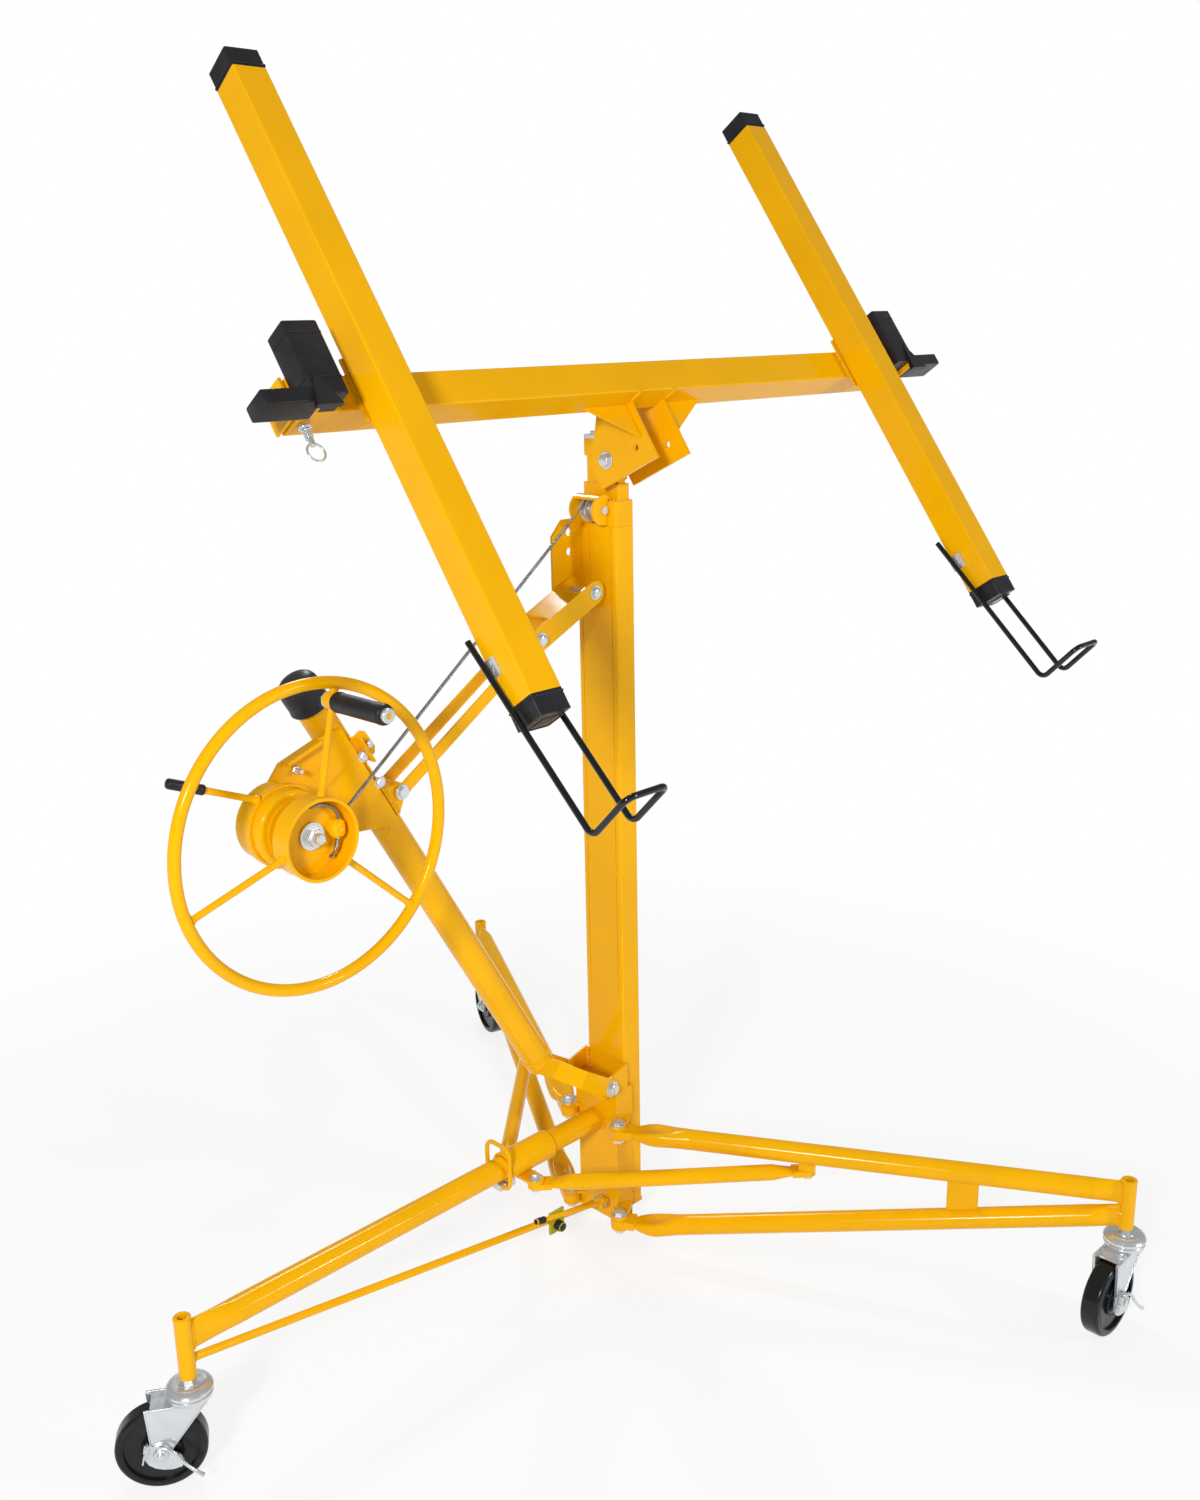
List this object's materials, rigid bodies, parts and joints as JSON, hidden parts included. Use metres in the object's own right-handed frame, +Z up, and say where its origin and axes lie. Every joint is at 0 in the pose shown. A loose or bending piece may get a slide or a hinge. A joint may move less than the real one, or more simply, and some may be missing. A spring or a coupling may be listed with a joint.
{
  "type": "drywall panel hoist",
  "caption": "Hand-cranked wall-panel hoist: folding tripod on casters, telescoping mast with cable winch, and a tilting cradle with hooked arms and sliding end pads.",
  "frame": {"origin": "middle of the object's bounding box, on the floor under the casters", "axes": "+Z up; the fixed leg and the winch arm point to -X; the hand wheel and the panel's lower edge are on the -Y side"},
  "size_m": [1.6272, 1.602, 1.8787],
  "materials": {
    "yellow_paint": "gloss",
    "zinc": "bright zinc plate",
    "black_plastic": "satin",
    "wheel_black": "satin",
    "black_wire": "gloss",
    "steel_cable": "bright strands",
    "nylon": "matt",
    "latch_green": "satin"
  },
  "bodies": {
    "base": {"base_column": "yellow_paint", "front_leg": "yellow_paint", "front_rod": "yellow_paint", "latch_plate": "latch_green", "frame_bolts": "zinc", "mast_outer": "yellow_paint", "outer_guides": "nylon", "arm_bracket": "yellow_paint", "winch_arm": "yellow_paint", "arm_cap": "black_plastic", "brace_bracket": "yellow_paint", "brace_upper": "yellow_paint", "brace_bars": "yellow_paint", "pulley_guard": "yellow_paint", "winch_bracket": "yellow_paint", "brake_housing": "yellow_paint", "cable_run": "steel_cable"},
    "latch": {"latch_lever": "yellow_paint"},
    "mast_mid": {"mast_middle": "yellow_paint", "middle_guides": "nylon"},
    "mast_in": {"mast_inner": "yellow_paint", "inner_guides": "nylon", "head_cap": "zinc", "tilt_bolt": "zinc"},
    "pulley": {"top_pulley": "zinc"},
    "leg_right": {"leg_upper_right": "yellow_paint", "leg_lower_right": "yellow_paint"},
    "leg_left": {"leg_upper_left": "yellow_paint", "leg_lower_left": "yellow_paint"},
    "slider": {"collar": "yellow_paint", "collar_hardware": "zinc"},
    "bail": {"lock_bail": "yellow_paint"},
    "link_r": {"link_right": "yellow_paint"},
    "link_l": {"link_left": "yellow_paint"},
    "winch": {"winch_drum": "yellow_paint", "wound_cable": "steel_cable", "wheel_rim": "yellow_paint", "wheel_spokes": "yellow_paint"},
    "grip": {"spinner_grip": "black_plastic"},
    "brake": {"brake_lever": "yellow_paint"},
    "cradle": {"crossbar": "yellow_paint", "head_plates": "yellow_paint", "cradle_arms": "yellow_paint", "arm_caps": "black_plastic", "hook_clips": "zinc"},
    "hook_l": {"hook_left": "black_wire"},
    "hook_r": {"hook_right": "black_wire"},
    "out_l": {"outrigger_left": "yellow_paint"},
    "out_r": {"outrigger_right": "yellow_paint"},
    "pin_l": {"lock_pin_left": "zinc"},
    "pin_r": {"lock_pin_right": "zinc"},
    "swivel_front": {"caster_fork_front": "zinc"},
    "wheel_front": {"caster_wheel_front": "wheel_black"},
    "pedal_front": {"caster_brake_front": "zinc"},
    "swivel_right": {"caster_fork_right": "zinc"},
    "wheel_right": {"caster_wheel_right": "wheel_black"},
    "pedal_right": {"caster_brake_right": "zinc"},
    "swivel_left": {"caster_fork_left": "zinc"},
    "wheel_left": {"caster_wheel_left": "wheel_black"},
    "pedal_left": {"caster_brake_left": "zinc"}
  },
  "joints": [
    {"name": "leg_fold_right", "type": "hinge", "parent": "base", "child": "leg_right", "pos_m": [0.06859, -0.05455, 0.224], "axis": [0, 0, -1], "range_deg": [0, 83]},
    {"name": "leg_fold_left", "type": "hinge", "parent": "base", "child": "leg_left", "pos_m": [0.06859, 0.06345, 0.224], "axis": [0, 0, 1], "range_deg": [0, 83]},
    {"name": "collar_slide", "type": "slide", "parent": "base", "child": "slider", "axis": [-1, 0, 0], "range_m": [0, 0.4758]},
    {"name": "link_turn_right", "type": "hinge", "parent": "slider", "child": "link_r", "pos_m": [-0.10341, -0.03355, 0.193], "axis": [0, 0, 1], "range_deg": [0, 13.5]},
    {"name": "link_turn_left", "type": "hinge", "parent": "slider", "child": "link_l", "pos_m": [-0.10341, 0.04245, 0.193], "axis": [0, 0, -1], "range_deg": [0, 13.5]},
    {"name": "bail_swing", "type": "hinge", "parent": "slider", "child": "bail", "pos_m": [-0.14841, 0.00445, 0.19495], "axis": [0, -1, 0], "range_deg": [0, 40]},
    {"name": "latch_lift", "type": "hinge", "parent": "base", "child": "latch", "pos_m": [0.06259, -0.01955, 0.074], "axis": [0, 1, 0], "range_deg": [0, 20]},
    {"name": "mast_lift", "type": "slide", "parent": "base", "child": "mast_mid", "axis": [0, 0, 1], "range_m": [0, 0.95], "deforming": ["cable_run"]},
    {"name": "mast_lift_inner", "type": "slide", "parent": "mast_mid", "child": "mast_in", "axis": [0, 0, 1], "range_m": [0, 0.95]},
    {"name": "winch_turn", "type": "hinge", "parent": "base", "child": "winch", "pos_m": [-0.53336, -0.12495, 0.924], "axis": [0, 1, 0], "range_deg": [0, 1574.2]},
    {"name": "pulley_turn", "type": "hinge", "parent": "base", "child": "pulley", "pos_m": [0.09284, 0.00445, 1.262], "axis": [0, -1, 0], "range_deg": [0, 3299.8]},
    {"name": "grip_spin", "type": "hinge", "parent": "winch", "child": "grip", "pos_m": [-0.49422, -0.18335, 1.09353], "axis": [0, 1, 0], "continuous": true},
    {"name": "brake_pull", "type": "hinge", "parent": "base", "child": "brake", "pos_m": [-0.53336, -0.05505, 0.924], "axis": [0, 1, 0], "range_deg": [-12, 12]},
    {"name": "cradle_tilt", "type": "hinge", "parent": "mast_in", "child": "cradle", "pos_m": [0.12609, -0.03355, 1.338], "axis": [1, 0, 0], "range_deg": [-54.7, 10]},
    {"name": "hook_swing_l", "type": "hinge", "parent": "cradle", "child": "hook_l", "pos_m": [-0.38241, -0.32664, 1.1473], "axis": [1, 0, 0], "range_deg": [0, 65]},
    {"name": "outrigger_slide_l", "type": "slide", "parent": "cradle", "child": "out_l", "axis": [-1, 0, 0], "range_m": [0, 0.23]},
    {"name": "pin_pull_l", "type": "slide", "parent": "cradle", "child": "pin_l", "axis": [0, -0.5779, -0.8161], "range_m": [0, 0.02], "stiffness_N_per_m": 400, "springref_m": -0.006},
    {"name": "hook_swing_r", "type": "hinge", "parent": "cradle", "child": "hook_r", "pos_m": [0.62759, -0.32664, 1.1473], "axis": [1, 0, 0], "range_deg": [0, 65]},
    {"name": "outrigger_slide_r", "type": "slide", "parent": "cradle", "child": "out_r", "axis": [1, 0, 0], "range_m": [0, 0.23]},
    {"name": "pin_pull_r", "type": "slide", "parent": "cradle", "child": "pin_r", "axis": [0, -0.5779, -0.8161], "range_m": [0, 0.02], "stiffness_N_per_m": 400, "springref_m": -0.006},
    {"name": "caster_swivel_front", "type": "hinge", "parent": "base", "child": "swivel_front", "pos_m": [-0.71841, 0.00445, 0.163], "axis": [0, 0, 1], "continuous": true},
    {"name": "caster_roll_front", "type": "hinge", "parent": "swivel_front", "child": "wheel_front", "pos_m": [-0.75531, 0.02841, 0.0625], "axis": [-0.5446, -0.8387, 0], "continuous": true},
    {"name": "caster_pedal_front", "type": "hinge", "parent": "swivel_front", "child": "pedal_front", "pos_m": [-0.75531, 0.02841, 0.0625], "axis": [-0.5446, -0.8387, 0], "range_deg": [0, 25]},
    {"name": "caster_swivel_right", "type": "hinge", "parent": "leg_right", "child": "swivel_right", "pos_m": [0.47709, -0.76209, 0.163], "axis": [0, 0, 1], "continuous": true},
    {"name": "caster_roll_right", "type": "hinge", "parent": "swivel_right", "child": "wheel_right", "pos_m": [0.43309, -0.76209, 0.0625], "axis": [0, -1, 0], "continuous": true},
    {"name": "caster_pedal_right", "type": "hinge", "parent": "swivel_right", "child": "pedal_right", "pos_m": [0.43309, -0.76209, 0.0625], "axis": [0, -1, 0], "range_deg": [0, 25]},
    {"name": "caster_swivel_left", "type": "hinge", "parent": "leg_left", "child": "swivel_left", "pos_m": [0.47709, 0.77099, 0.163], "axis": [0, 0, 1], "continuous": true},
    {"name": "caster_roll_left", "type": "hinge", "parent": "swivel_left", "child": "wheel_left", "pos_m": [0.46204, 0.72965, 0.0625], "axis": [0.9397, -0.342, 0], "continuous": true},
    {"name": "caster_pedal_left", "type": "hinge", "parent": "swivel_left", "child": "pedal_left", "pos_m": [0.46204, 0.72965, 0.0625], "axis": [0.9397, -0.342, 0], "range_deg": [0, 25]}
  ],
  "couplings": [
    {"joint": "leg_fold_left", "follows": "leg_fold_right", "ratio": 1},
    {"joint": "collar_slide", "follows": "leg_fold_right", "m_per_rad": 0.32813},
    {"joint": "link_turn_right", "follows": "leg_fold_right", "ratio": 0.16055},
    {"joint": "link_turn_left", "follows": "leg_fold_right", "ratio": 0.16055},
    {"joint": "mast_lift_inner", "follows": "mast_lift", "ratio": 1},
    {"joint": "winch_turn", "follows": "mast_lift", "rad_per_m": 28.902},
    {"joint": "pulley_turn", "follows": "mast_lift", "rad_per_m": 60.606}
  ]
}
